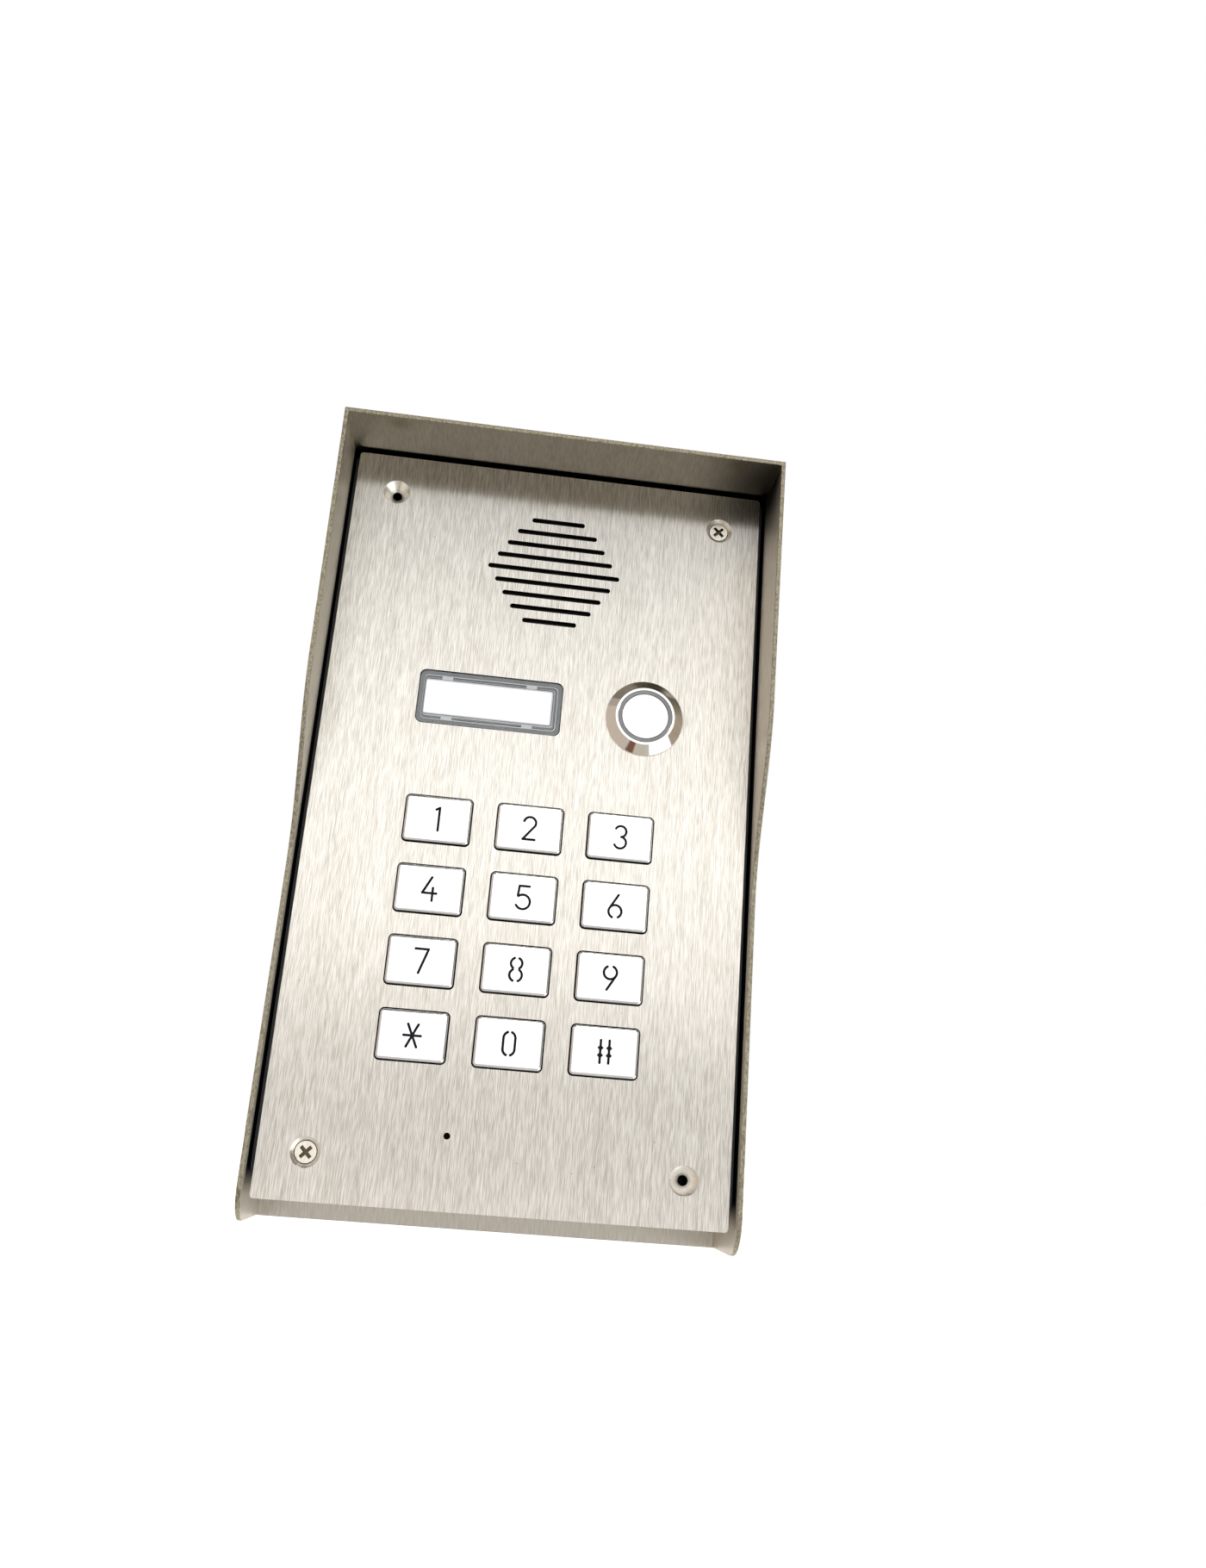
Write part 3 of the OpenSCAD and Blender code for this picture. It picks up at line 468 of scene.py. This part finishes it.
def rounded_copy(node_name, piece_name, body, slot, width, segments, materials, rounded, kind):
    """A copy of a CAD node whose chosen sharp edges are rounded to width, in metres.

    rounded(edge) chooses the edges, and kind(face) gives the index of a face's material.
    """
    shape = bmesh.new()
    shape.from_mesh(nodes[node_name].data)
    bmesh.ops.remove_doubles(shape, verts=shape.verts, dist=SAME)
    bmesh.ops.dissolve_limit(shape, angle_limit=math.radians(1), verts=shape.verts, edges=shape.edges)
    sharp = [edge for edge in shape.edges
             if edge.is_manifold and edge.calc_face_angle() > REAL_EDGE and rounded(edge)]
    bmesh.ops.bevel(shape, geom=sharp, offset=width, segments=segments, profile=0.5,
                    affect="EDGES", clamp_overlap=True, loop_slide=False)
    shape.normal_update()
    for face in shape.faces:
        face.material_index = kind(face)
    mesh = bpy.data.meshes.new(piece_name)
    shape.to_mesh(mesh)
    shape.free()
    return finish_piece(mesh, piece_name, body, slot, materials, node_name)


def finish_piece(mesh, name, body, slot, materials, *replaced):
    """Makes the object of a piece, smooth but for its sharp edges, and places it on its body."""
    mesh.shade_smooth()
    mesh.set_sharp_from_angle(angle=math.radians(32))
    for each in materials:
        mesh.materials.append(each)
    piece = bpy.data.objects.new(name, mesh)
    bpy.context.scene.collection.objects.link(piece)
    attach(piece, body)
    if replaced:
        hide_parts(*replaced)
    flat = piece.modifiers.new("flat_faces_stay_flat", "WEIGHTED_NORMAL")
    flat.keep_sharp = True
    flat.weight = 100
    return piece


def sheet_panel():
    """The front panel: slightly rounded edges, cut walls in painted shade and machined countersinks with a
    painted shadow ring round each screw head.
    """
    low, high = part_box("front_panel")
    middle, half = (low + high) / 2, (high - low) / 2
    rim, corner = 0.6 * MM, 16 * MM
    metal, cut, cone = 0, 1, 2

    def inside(place_at):
        off = place_at - middle
        return abs(off.x) < half.x - rim and abs(off.z) < half.z - rim

    def rounded(edge):
        return all(abs(end.co.y - low.y) < SAME for end in edge.verts)

    def kind(face):
        at = face.calc_center_median()
        frontal = abs(face.normal.y)
        if not inside(at) or frontal > 0.9:
            return metal
        near_screw = abs(at.z - middle.z) > half.z - corner and abs(at.x - middle.x) > half.x - corner
        if near_screw and frontal > 0.3:
            return cone
        return cut if frontal < 0.3 else metal
    rounded_copy("front_panel", "front_panel_sheet", "housing", "panel_steel", 0.12 * MM, 2,
                 [finishes["panel_steel"], shadowed_cut, machined_with_painted_shadow], rounded, kind)


def folded_hood():
    """The rain hood, with ground edges along its front."""
    low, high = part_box("rain_hood")
    middle_y = (low.y + high.y) / 2
    metal, ground = 0, 1

    def kind(face):
        return ground if face.normal.y < -0.2 and face.calc_center_median().y < middle_y else metal
    rounded_copy("rain_hood", "rain_hood_sheet", "housing", "hood_steel", 0.2 * MM, 2,
                 [finishes["hood_steel"], hood_edge], lambda edge: True, kind)


def pressed_key(key):
    """A key cap with rolled edges and its character painted dark inside."""
    name = "key_cap_" + key
    low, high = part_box(name)
    middle, half = (low + high) / 2, (high - low) / 2
    rim = 1.8 * MM
    metal, rolled, paint, wall = 0, 1, 2, 3

    def off_rim(place_at):
        off = place_at - middle
        return abs(off.x) < half.x - rim and abs(off.z) < half.z - rim

    def rounded(edge):
        at_front = all(abs(end.co.y - low.y) < SAME for end in edge.verts)
        return at_front and not off_rim((edge.verts[0].co + edge.verts[1].co) / 2)

    def kind(face):
        if off_rim(face.calc_center_median()):
            return paint if abs(face.normal.y) < 0.7 else metal
        if abs(face.normal.y) < 0.25:
            return wall
        return metal if face.normal.y < -0.99 else rolled
    rounded_copy(name, name + "_pressed", "key_" + key, "key_steel", 0.75 * MM, 4,
                 [finishes["key_steel"], key_edge, key_paint, shadowed_cut], rounded, kind)


def cross_head_screws():
    """Both panel screws, with painted shade in the cross recess and rounded heads."""
    recess_top, recess_floor, recess_r = 0.12 * MM, 1.2 * MM, 0.8 * SCREW_HEAD_R
    metal, recess = 0, 1

    def off_axis(place_at):
        return min(math.hypot(place_at.x - x, place_at.z - z) for x, _, z in fitted_screws)

    def rounded(edge):
        return all(abs(end.co.y - screw_low.y) < SAME for end in edge.verts)

    def kind(face):
        at = face.calc_center_median()
        depth = at.y - screw_low.y
        return recess if recess_top < depth < recess_floor and off_axis(at) < recess_r else metal
    rounded_copy("panel_screws", "panel_screws_turned", "housing", "screw_steel", 0.1 * MM, 2,
                 [finishes["screw_steel"], painted_recess_shade], rounded, kind)


def rounded_loop(middle, half, radius, y, steps=5):
    """Points round a rectangle with round corners, at depth y."""
    points = []
    for corner, (sx, sz) in enumerate(((1, 1), (-1, 1), (-1, -1), (1, -1))):
        for i in range(steps + 1):
            angle = math.radians(90 * (corner + i / steps))
            points.append((middle[0] + sx * (half[0] - radius) + radius * math.cos(angle), y,
                           middle[1] + sz * (half[1] - radius) + radius * math.sin(angle)))
    return points


def closed_mesh(name, points, faces, kinds):
    """A closed mesh whose faces look outward; kinds has the material index of each face."""
    mesh = bpy.data.meshes.new(name)
    mesh.from_pydata(points, [], faces)
    mesh.polygons.foreach_set("material_index", kinds)
    shape = bmesh.new()
    shape.from_mesh(mesh)
    bmesh.ops.recalc_face_normals(shape, faces=shape.faces)
    shape.to_mesh(mesh)
    shape.free()
    return mesh


def window_border():
    """The clear moulding round the name card: a smoked border, ledges, a ridge and its flange, in bands of
    painted light and painted shadow.
    """
    low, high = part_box("window_lens")
    card_low, card_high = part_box("name_label")
    flange, inset, corner = 1.7 * MM, 1.3 * MM, 1.8 * MM
    panel_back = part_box("front_panel")[1].y
    outer_middle = ((low.x + high.x) / 2, (low.z + high.z) / 2)
    outer_half = ((high.x - low.x) / 2 - flange, (high.z - low.z) / 2 - flange)
    card_middle = ((card_low.x + card_high.x) / 2, (card_low.z + card_high.z) / 2)
    card_half = ((card_high.x - card_low.x) / 2, (card_high.z - card_low.z) / 2)
    front = low.y + 0.3 * MM

    def inset_loop(by, y):
        return rounded_loop(outer_middle, (outer_half[0] - by, outer_half[1] - by), corner - 0.5 * by, y)

    def toward_card(t, y):
        """A loop part of the way from the border's inner edge to the card's edge."""
        def between(a, b):
            return a + (b - a) * t
        middle = [between(a, b) for a, b in zip(outer_middle, card_middle)]
        half = [between(a - inset, b) for a, b in zip(outer_half, card_half)]
        return rounded_loop(middle, half, between(corner - 0.5 * inset, 0.45 * MM), y)

    # Each loop of the profile has the material of the band that follows it
    # The light bands are painted light and the dark bands painted shadow
    smoke, light, dark = 0, 1, 2
    profile = [(inset_loop(0, front + 0.15 * MM), dark), (inset_loop(0.2 * MM, front), smoke),
               (inset_loop(inset, front), light), (toward_card(0.14, front + 0.15 * MM), dark),
               (toward_card(0.30, front + 0.4 * MM), smoke), (toward_card(0.52, front + 0.4 * MM), light),
               (toward_card(0.66, front + 0.2 * MM), dark), (toward_card(0.80, front + 0.45 * MM), light),
               (toward_card(0.97, front + 0.7 * MM), light),
               (toward_card(0.97, high.y), dark), (inset_loop(-flange, high.y), dark),
               (inset_loop(-flange, panel_back), dark), (inset_loop(0, panel_back), dark)]
    count = len(profile[0][0])
    points = [point for loop, _ in profile for point in loop]
    faces, kinds = [], []
    for row, (_, kind) in enumerate(profile):
        after = (row + 1) % len(profile)
        for i in range(count):
            j = (i + 1) % count
            faces.append((row * count + i, after * count + i, after * count + j, row * count + j))
            kinds.append(kind)
    mesh = closed_mesh("window_border", points, faces, kinds)
    finish_piece(mesh, "window_border", "housing", "clear_plastic", [pane_border, pane_painted_light, pane_painted_shadow],
                 "window_lens")
    window_clips(outer_middle, outer_half, inset, front)
    window_pane(outer_middle, outer_half, corner, low.y)


def block(name, low, high, bevel, body, slot, materials):
    """A box between two corners with rounded edges."""
    shape = bmesh.new()
    bmesh.ops.create_cube(shape, size=1.0)
    size, middle = high - low, (high + low) / 2
    for vertex in shape.verts:
        vertex.co = Vector([middle[i] + vertex.co[i] * size[i] for i in range(3)])
    bmesh.ops.bevel(shape, geom=shape.edges[:], offset=bevel, segments=3, profile=0.5, affect="EDGES")
    mesh = bpy.data.meshes.new(name)
    shape.to_mesh(mesh)
    shape.free()
    return finish_piece(mesh, name, body, slot, materials)


def window_clips(middle, half, inset, front):
    """Four snap tabs between the border and the card, two along the top and two along the bottom."""
    tab_w, tab_h, tab_t = 1.5 * MM, 0.45 * MM, 0.2 * MM
    for number, (share, way) in enumerate(((-0.62, 1), (0.56, 1), (-0.58, -1), (0.54, -1))):
        at = Vector((middle[0] + share * half[0], front + 0.22 * MM,
                     middle[1] + way * (half[1] - inset - 0.55 * MM)))
        reach = Vector((tab_w, tab_t, tab_h))
        # The tabs take the ledges' painted light
        block(f"window_clip_{number + 1}", at - reach, at + reach, 0.08 * MM, "housing",
              "clear_plastic", [pane_painted_light])


def window_pane(middle, half, corner, y):
    """The clear front skin of the moulding."""
    skin, edge = 0.28 * MM, 0.1 * MM
    loops = [rounded_loop(middle, (half[0] - by, half[1] - by), corner - by, y + depth)
             for by, depth in ((0.02 * MM, skin), (0.02 * MM, edge), (edge, 0.0))]
    count = len(loops[0])
    faces = [tuple(range(count)), tuple(reversed(range(2 * count, 3 * count)))]
    for row in (0, 1):
        for i in range(count):
            j = (i + 1) % count
            faces.append((row * count + j, row * count + i, (row + 1) * count + i, (row + 1) * count + j))
    points = [point for loop in loops for point in loop]
    mesh = closed_mesh("window_pane", points, faces, [0] * len(faces))
    finish_piece(mesh, "window_pane", "housing", "clear_plastic", [finishes["clear_plastic"]])


sheet_panel()
folded_hood()
cross_head_screws()
window_border()
for key in ("1", "2", "3", "4", "5", "6", "7", "8", "9", "star", "0", "hash"):
    pressed_key(key)


# ---- Studio ----

def lobe(tree, direction, toward, low, high):
    """1 where direction is near toward, 0 where the cosine between them is under low."""
    cosine = add(tree, "ShaderNodeVectorMath", {0: direction, 1: Vector(toward).normalized()},
                 operation="DOT_PRODUCT").outputs["Value"]
    return ramp(tree, cosine, low, high)


def studio_world():
    """A white backdrop. Reflections see a soft studio: a bright front, darker ceiling and sides."""
    world = bpy.data.worlds.new("studio")
    world.use_nodes = True
    tree = world.node_tree
    tree.nodes.clear()
    direction = add(tree, "ShaderNodeTexCoord").outputs["Generated"]
    height = split(tree, direction)["Z"]
    share = add(tree, "ShaderNodeMapRange", {"Value": height, "From Min": -1.0, "From Max": 1.0})
    bands = add(tree, "ShaderNodeValToRGB", {0: share.outputs["Result"]})
    # Brightness by the height that a direction points at, from -1 straight down to 1 straight up
    stops = [(-1.0, 0.62), (-0.62, 0.56), (-0.36, 0.50), (-0.12, 1.28), (-0.06, 1.40), (-0.03, 1.24),
             (0.0, 1.04), (0.03, 1.09), (0.10, 1.70), (0.16, 1.78), (0.22, 1.76), (0.28, 1.80),
             (0.31, 1.73), (0.37, 1.49), (0.42, 1.37), (0.47, 1.0), (0.52, 0.60), (0.66, 0.09), (1.0, 0.02)]
    ramp_points = bands.color_ramp.elements
    while len(ramp_points) < len(stops):
        ramp_points.new(0.5)
    brightest = max(level for _, level in stops)
    for point, (at, level) in zip(ramp_points, stops):
        point.position = (at + 1) / 2
        point.color = colour(*[level / brightest] * 3)
    light = mix(tree, 1.0, bands.outputs["Color"], colour(*[brightest] * 3), "MULTIPLY")
    # Direction of each patch, the cosines to it where the patch starts and is full, and its colour
    patches = [((1.0, 0.1, 0.1), 0.40, 0.85, colour(0.17, 0.155, 0.12)),
               ((0.30, -0.95, -0.02), 0.975, 0.997, colour(0.70, 0.69, 0.67)),
               ((-0.95, -0.3, -0.1), 0.50, 0.85, colour(0.62, 0.53, 0.46)),
               ((-0.58, -0.30, 0.76), 0.953, 0.968, colour(0.45, 0.40, 0.36)),
               ((-0.05, -0.60, -0.80), 0.955, 0.975, colour(0.60, 0.56, 0.47)),
               ((0.74, -0.41, -0.53), 0.86, 0.89, colour(1.7, 1.7, 1.7)),
               ((-0.31, -0.52, -0.79), 0.984, 0.991, colour(0.21, 0.10, 0.07))]
    for toward, low, high, tint in patches:
        light = mix(tree, lobe(tree, direction, toward, low, high), light, tint)
    camera_ray = add(tree, "ShaderNodeLightPath").outputs["Is Camera Ray"]
    seen = mix(tree, camera_ray, light, colour(1.0, 1.0, 1.0))
    background = add(tree, "ShaderNodeBackground", {"Color": seen, "Strength": 1.0})
    out = add(tree, "ShaderNodeOutputWorld")
    tree.links.new(background.outputs[0], out.inputs["Surface"])
    bpy.context.scene.world = world


def softbox(name, place_at, aim_at, size, power, tint):
    lamp = bpy.data.lights.new(name, "AREA")
    lamp.shape, lamp.size, lamp.energy, lamp.color = "SQUARE", size, power, tint
    made = bpy.data.objects.new(name, lamp)
    bpy.context.scene.collection.objects.link(made)
    made.location = place_at
    made.rotation_euler = (Vector(aim_at) - Vector(place_at)).to_track_quat("-Z", "Y").to_euler()


def pale_floor():
    """A plain pale floor behind and below the panel."""
    material_made, tree, bsdf = material("pale_floor", Roughness=0.9)
    tone = stretched(tree, (400.0, 400.0, 400.0))
    pale = mix(tree, tone, colour(0.9, 0.9, 0.9), colour(0.94, 0.94, 0.94))
    link(tree, pale, bsdf, "Base Color")
    link(tree, pale, bsdf, "Emission Color")
    bsdf.inputs["Emission Strength"].default_value = 1.0
    mesh = bpy.data.meshes.new("floor")
    half, near, far, level = 8.0, -0.05, 16.0, -0.30
    mesh.from_pydata([(-half, near, level), (half, near, level), (half, far, level), (-half, far, level)],
                     [], [(0, 1, 2, 3)])
    floor = bpy.data.objects.new("floor", mesh)
    bpy.context.scene.collection.objects.link(floor)
    mesh.materials.append(material_made)


def camera():
    """Looks up at the panel from below and a little to its left, leaning to the left."""
    eye = Vector((-7.73, -350.45, -84.12)) * MM
    aim = Vector((19.17, -29.5, 10.50)) * MM
    lean = math.radians(4.51)
    ahead = (aim - eye).normalized()
    right = ahead.cross(Vector((0, 0, 1))).normalized()
    up = right.cross(ahead)
    up, right = up * math.cos(lean) - right * math.sin(lean), right * math.cos(lean) + up * math.sin(lean)
    lens = bpy.data.cameras.new("camera")
    lens.sensor_width = 36.0
    lens.lens = 27.69
    lens.clip_start = 0.01
    made = bpy.data.objects.new("camera", lens)
    bpy.context.scene.collection.objects.link(made)
    made.matrix_world = Matrix.Translation(eye) @ Matrix((right, up, -ahead)).transposed().to_4x4()
    bpy.context.scene.camera = made


studio_world()
pale_floor()
softbox("key_light", (0.2, -0.85, 1.15), (0, 0, 0), 0.5, 3.0, (1.0, 0.97, 0.92))
camera()
bpy.context.scene.view_settings.view_transform = "Standard"
